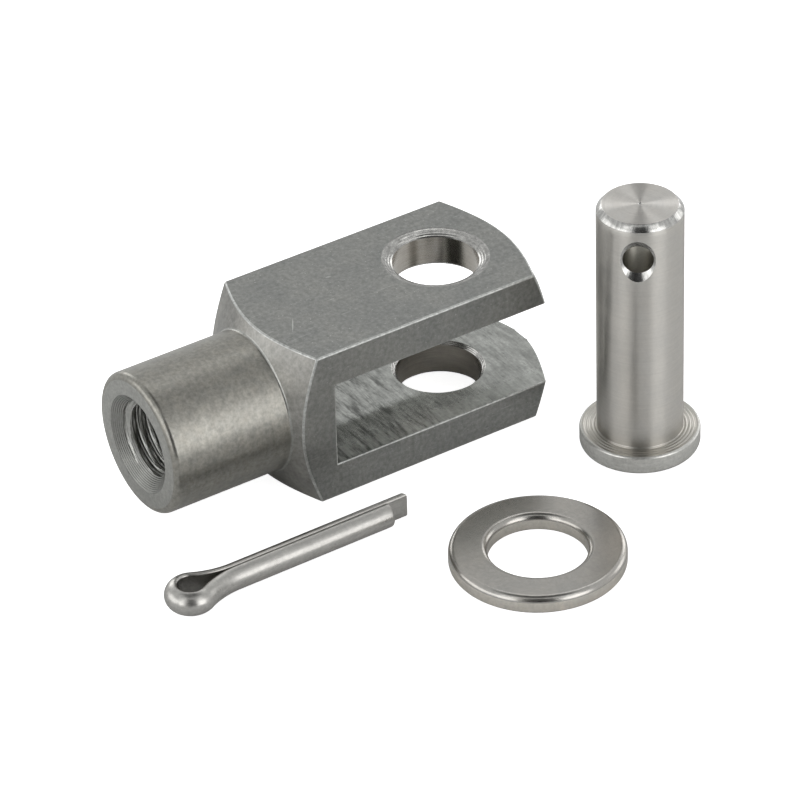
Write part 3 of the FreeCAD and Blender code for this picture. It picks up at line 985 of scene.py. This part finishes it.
# %% [markdown]
# Which finish goes where is read from each face's own place and direction: what lies on the square is
# drawn stock, what lies round the X axis was turned, what lies round the Z axis was bored, and the rest
# are the narrow strips of the broken edges.

# %% Painting faces
def face_places(piece):
    """Centre and normal of every polygon, as two arrays."""
    mesh = piece.data
    centre, normal = np.empty(len(mesh.polygons) * 3), np.empty(len(mesh.polygons) * 3)
    mesh.polygons.foreach_get("center", centre)
    mesh.polygons.foreach_get("normal", normal)
    return centre.reshape(-1, 3) / MM, normal.reshape(-1, 3)


def paint(piece, finishes, masks, rest):
    """Give each face the finish of the last mask that holds it, and the rest the one that is named."""
    names = list(finishes)
    choice = np.full(len(piece.data.polygons), names.index(rest))
    for name, mask in masks.items():
        choice[mask] = names.index(name)
    piece.data.materials.clear()
    for finish in finishes.values():
        piece.data.materials.append(finish)
    piece.data.polygons.foreach_set("material_index", np.asarray(choice, np.int32))
    piece.data.update()
    print(piece.name, {name: int((choice == number).sum()) for number, name in enumerate(names)})


# %% Finishes on the fork
centre, normal = face_places(fork)
x, y, z = centre.T
from_rod_axis, from_bore_axis = np.hypot(y, z), np.hypot(x, y)
along_x, along_y, along_z = np.abs(normal).T
radial_x = (normal[:, 1] * y + normal[:, 2] * z) / np.maximum(from_rod_axis, 1e-6)
radial_z = (normal[:, 0] * x + normal[:, 1] * y) / np.maximum(from_bore_axis, 1e-6)
straight = 0.999
cone_side = math.hypot(1, turned_slope)
mouth_radius = thread_radius + mouth_wider

on_sides = near(np.abs(y), half) & (along_y > straight)
on_square = on_sides | near(np.abs(z), half) & (along_z > straight)
in_slot = near(np.abs(z), slot_width / 2) & (along_z > straight) & (x > slot_floor_x)
slot_end = near(x, slot_floor_x) & (along_x > straight)
outside = from_rod_axis > mouth_radius + 0.02
is_cone = outside & near(along_x, 1 / cone_side, 0.02) & near(radial_x, turned_slope / cone_side, 0.03)
neck_side = outside & (x < neck_root_x - 0.1) & (radial_x > 0.05)
at_root = (x > neck_root_x - 0.1) & (x < neck_root_x + 0.3) & (from_rod_axis < neck_radius + 0.5)
root_line = outside & at_root & ~is_cone
end_face = outside & (along_x > straight) & (near(x, neck_end_x) | near(x, ear_end_x))
in_bore = (from_bore_axis < bore_radius + 0.03) & (radial_z < -0.99)
faces_in = (radial_z < -0.4) & (radial_z > -0.95) & (along_z > 0.3)
is_lead = (from_bore_axis < bore_radius + lead_top_width + 0.1) & faces_in
in_thread = (from_rod_axis < mouth_radius + 0.05) & (x < slot_floor_x - slack) & ~end_face
in_mouth = in_thread & (x < neck_end_x + mouth_wider + 0.6) & near(along_x, math.sqrt(0.5), 0.03)
paint(fork, fork_finish, {
    "flats": on_square, "slot": in_slot | slot_end, "crown": is_cone, "neck": neck_side,
    "end": end_face | root_line, "bore": in_bore, "lead": is_lead, "thread": in_thread,
    "mouth": in_mouth}, rest="edge")

# %% [markdown]
# The pin's faces are told apart by height, by distance from its axis and by distance from the cross
# hole's axis; the hole's inside gets the dark finish, a painted shade. On the washer the steep faces are
# its walls, with the lighter finish that is painted light. The wire is all one finish.

# %% Finishes on the loose pieces
centre, normal = face_places(pin)
up, height = normal[:, 2], centre[:, 2]
offset = centre - np.array(hole_centre)
along_hole = offset @ cross_hole_axis
from_hole_axis = np.linalg.norm(offset - along_hole[:, None] * cross_hole_axis, axis=1)
from_pin_axis = np.hypot(offset[:, 0], offset[:, 1])
off_the_shaft = (np.abs(from_pin_axis - pin_radius) > 0.004) & (np.abs(offset[:, 2]) < 3)
in_hole = (from_hole_axis < cross_hole_radius + hole_lead_width + 0.3) & off_the_shaft
at_mouth = np.abs(along_hole) > pin_radius - hole_lead_depth - 0.3
hole_lead = in_hole & at_mouth & (from_hole_axis > cross_hole_radius + 0.02)
tip_bevel = (height > top_z - tip_along - 0.1) & (height < top_z - 0.01) & (up > 0.1)
top_edge = (height < head_top_z + 0.01) & (from_pin_axis > head_radius - head_top_break + 0.01)
head_side = (height < head_top_z - head_top_break) & (from_pin_axis > head_radius * 0.6)
paint(pin, pin_finish, {
    "tip": (height > top_z - 0.01) & (up > 0.99),
    "bevel": tip_bevel | hole_lead,
    "seat": (height < head_top_z + 0.3) & (up > 0.3) & (from_pin_axis > pin_radius + 0.02),
    "rim": top_edge | head_side,
    "hole": in_hole & ~hole_lead}, rest="shaft")

washer_normal = face_places(washer)[1]
paint(washer, washer_finish, {"walls": np.abs(washer_normal[:, 2]) < 0.2}, rest="tumbled")
paint(split_pin, wire_finish, {}, rest="drawn")

# %% [markdown]
# Last, each piece takes the place of its measured solid, which is hidden.

# %% Put the pieces on their solids
for piece, solid, slot_name in ((fork, "clevis_fork", "fork_steel"), (pin, "clevis_pin", "pin_steel"),
                                (washer, "washer", "washer_steel"), (split_pin, "split_pin", "wire_steel")):
    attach(piece, "root")
    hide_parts(solid)
